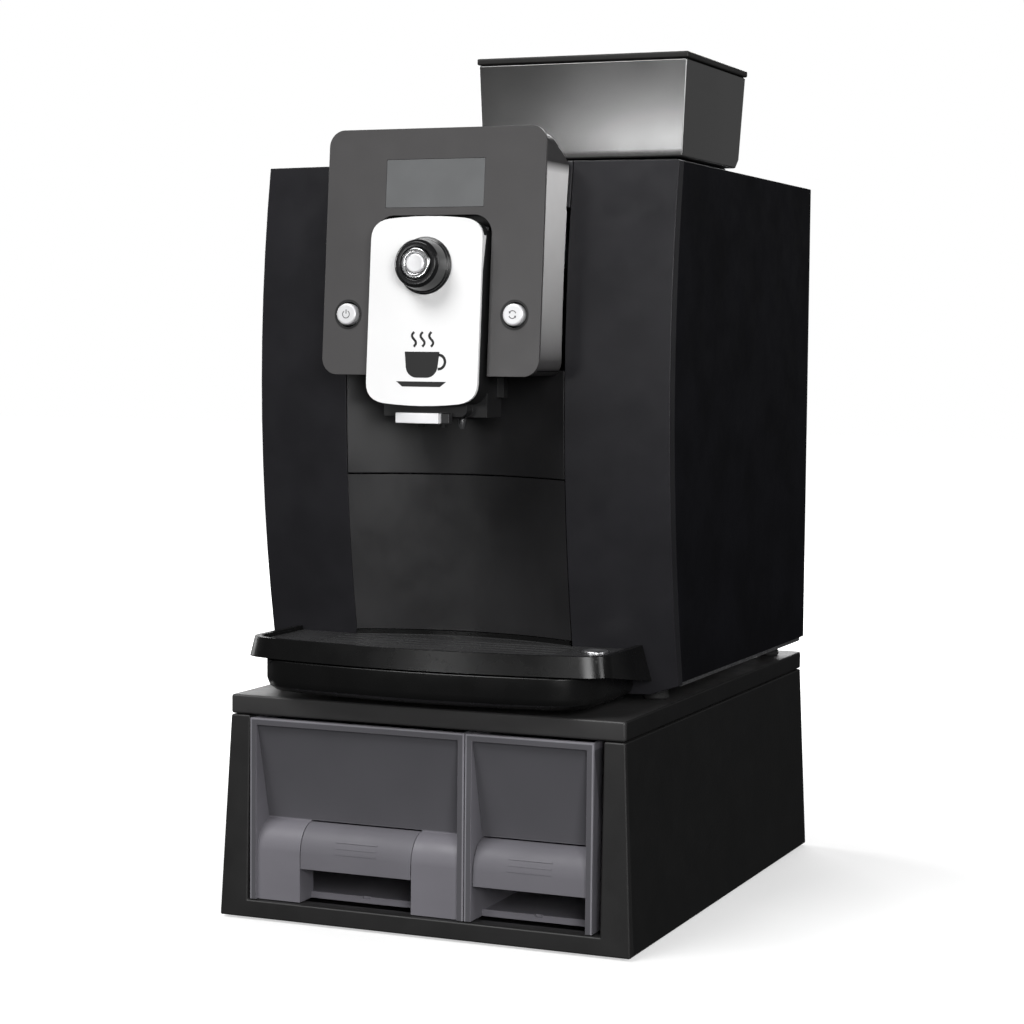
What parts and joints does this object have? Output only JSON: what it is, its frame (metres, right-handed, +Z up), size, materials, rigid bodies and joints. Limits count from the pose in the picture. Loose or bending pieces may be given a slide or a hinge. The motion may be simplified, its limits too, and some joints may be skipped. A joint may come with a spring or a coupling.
{
  "type": "hot coffee vending machine",
  "caption": "Bean-to-cup hot drink machine with a leaning display, sliding spout, drip tray and bean hopper, standing on a cabinet with push-flap bins.",
  "frame": {"origin": "centre of the bounding box on the counter, under the cabinet's pads", "axes": "+Z up, the front with the display faces -Y, +X is the right side seen from the front"},
  "size_m": [0.302, 0.425, 0.605],
  "materials": {
    "cabinet_black": "satin, faint moulded texture",
    "casing_black": "satin black, faint moulded texture",
    "inner_black": "matt black moulding",
    "display_grey": "smooth dark grey, semi gloss",
    "lcd_grey": "flat display window",
    "faceplate_white": "gloss white",
    "chrome_trim": "bright plated",
    "smoked_bin": "frosted smoke grey",
    "smoked_hopper": "dark smoke, glossy",
    "tank_clear": "clear moulding",
    "tray_black": "black, semi gloss",
    "white_moulding": "matt white",
    "steel_sheet": "brushed",
    "cast_alloy": "satin",
    "brass_fittings": "machined",
    "foot_rubber": "matt",
    "board_green": "solder mask"
  },
  "bodies": {
    "machine": {"base_cabinet": "cabinet_black", "base_lid": "cabinet_black", "base_foot_1": "foot_rubber", "base_foot_2": "foot_rubber", "base_foot_3": "foot_rubber", "base_foot_4": "foot_rubber", "fascia_left": "casing_black", "fascia_right": "casing_black", "fascia_top": "casing_black", "bay_cover": "casing_black", "side_panel_left": "casing_black", "side_panel_right": "casing_black", "back_panel": "casing_black", "top_cover": "casing_black", "chassis": "steel_sheet", "machine_foot_1": "foot_rubber", "machine_foot_2": "foot_rubber", "machine_foot_3": "foot_rubber", "machine_foot_4": "foot_rubber", "display_panel": "display_grey", "lcd_window": "lcd_grey", "display_housing": "inner_black", "hopper_shell": "smoked_hopper", "hopper_collar": "inner_black", "grinder_housing": "cast_alloy", "grinder_motor": "steel_sheet", "brew_frame": "inner_black", "brew_motor": "steel_sheet", "boiler": "cast_alloy", "water_pump": "brass_fittings", "flow_meter": "inner_black", "control_board": "board_green", "water_hose": "foot_rubber", "mains_inlet": "inner_black"},
    "left_bin_body": {"left_bin": "smoked_bin"},
    "left_flap_body": {"left_flap": "smoked_bin"},
    "right_bin_body": {"right_bin": "smoked_bin"},
    "right_flap_body": {"right_flap": "smoked_bin"},
    "power_button_body": {"power_button": "chrome_trim"},
    "rinse_button_body": {"rinse_button": "chrome_trim"},
    "spout": {"spout_carriage": "inner_black", "spout_faceplate": "faceplate_white", "spout_lip": "chrome_trim", "coffee_nozzle_left": "inner_black", "coffee_nozzle_right": "inner_black", "hot_water_nozzle": "chrome_trim"},
    "knob_body": {"knob": "inner_black", "knob_ring": "chrome_trim"},
    "knob_button_body": {"knob_button": "chrome_trim"},
    "tray": {"drip_tray": "tray_black"},
    "tray_cover_body": {"tray_cover": "tray_black"},
    "tray_float_body": {"tray_float": "steel_sheet"},
    "grounds_container_body": {"grounds_container": "casing_black"},
    "hopper_lid_body": {"hopper_lid": "smoked_hopper"},
    "tank": {"water_tank": "tank_clear"},
    "tank_lid_body": {"tank_lid": "casing_black"},
    "burr": {"grinder_burr": "steel_sheet"},
    "piston": {"brew_piston": "white_moulding"},
    "screw": {"brew_screw": "brass_fittings"},
    "switch_rocker": {"power_switch": "inner_black"}
  },
  "joints": [
    {"name": "left_bin_slide", "type": "slide", "parent": "machine", "child": "left_bin_body", "axis": [0, -1, 0], "range_m": [0, 0.22]},
    {"name": "left_flap_hinge", "type": "hinge", "parent": "left_bin_body", "child": "left_flap_body", "pos_m": [-0.049, -0.174, 0.0642], "axis": [1, 0, 0], "range_deg": [0, 50], "stiffness_Nm_per_rad": 0.02, "springref_deg": -22.92},
    {"name": "right_bin_slide", "type": "slide", "parent": "machine", "child": "right_bin_body", "axis": [0, -1, 0], "range_m": [0, 0.22]},
    {"name": "right_flap_hinge", "type": "hinge", "parent": "right_bin_body", "child": "right_flap_body", "pos_m": [0.0774, -0.174, 0.0642], "axis": [1, 0, 0], "range_deg": [0, 50], "stiffness_Nm_per_rad": 0.02, "springref_deg": -22.92},
    {"name": "power_button_press", "type": "slide", "parent": "machine", "child": "power_button_body", "axis": [0, 0.9975, -0.0713], "range_m": [0, 0.0012], "stiffness_N_per_m": 800, "springref_m": -0.001},
    {"name": "rinse_button_press", "type": "slide", "parent": "machine", "child": "rinse_button_body", "axis": [0, 0.9975, -0.0713], "range_m": [0, 0.0012], "stiffness_N_per_m": 800, "springref_m": -0.001},
    {"name": "spout_height", "type": "slide", "parent": "machine", "child": "spout", "axis": [0, 0, -1], "range_m": [0, 0.065]},
    {"name": "knob_turn", "type": "hinge", "parent": "spout", "child": "knob_body", "pos_m": [0, -0.18936, 0.44447], "axis": [0, 0.9975, -0.0713], "continuous": true},
    {"name": "knob_button_press", "type": "slide", "parent": "knob_body", "child": "knob_button_body", "axis": [0, 0.9975, -0.0713], "range_m": [0, 0.0012], "stiffness_N_per_m": 800, "springref_m": -0.001},
    {"name": "drip_tray_slide", "type": "slide", "parent": "machine", "child": "tray", "axis": [0, -1, 0], "range_m": [0, 0.2]},
    {"name": "tray_cover_lift", "type": "slide", "parent": "tray", "child": "tray_cover_body", "axis": [0, -0.35, 0.9367], "range_m": [0, 0.05]},
    {"name": "tray_float_rise", "type": "slide", "parent": "tray_cover_body", "child": "tray_float_body", "axis": [0, 0, 1], "range_m": [0, 0.006]},
    {"name": "grounds_container_slide", "type": "slide", "parent": "machine", "child": "grounds_container_body", "axis": [0, -1, 0], "range_m": [0, 0.12]},
    {"name": "hopper_lid_lift", "type": "slide", "parent": "machine", "child": "hopper_lid_body", "axis": [0, 0, 1], "range_m": [0, 0.06]},
    {"name": "water_tank_lift", "type": "slide", "parent": "machine", "child": "tank", "axis": [0, 0, 1], "range_m": [0, 0.2]},
    {"name": "tank_lid_hinge", "type": "hinge", "parent": "tank", "child": "tank_lid_body", "pos_m": [-0.11, 0.1785, 0.512], "axis": [-1, 0, 0], "range_deg": [0, 80]},
    {"name": "burr_turn", "type": "hinge", "parent": "machine", "child": "burr", "pos_m": [0.0205, 0.1055, 0.47], "axis": [0, 0, 1], "continuous": true},
    {"name": "screw_turn", "type": "hinge", "parent": "machine", "child": "screw", "pos_m": [0.0205, 0.0675, 0.3], "axis": [0, 0, 1], "range_deg": [0, 1080]},
    {"name": "piston_lift", "type": "slide", "parent": "machine", "child": "piston", "axis": [0, 0, 1], "range_m": [0, 0.03]},
    {"name": "switch_rock", "type": "hinge", "parent": "machine", "child": "switch_rocker", "pos_m": [0.0617, 0.1885, 0.212], "axis": [1, 0, 0], "range_deg": [0, 11]}
  ],
  "couplings": [
    {"joint": "piston_lift", "follows": "screw_turn", "m_per_rad": 0.0015915}
  ]
}
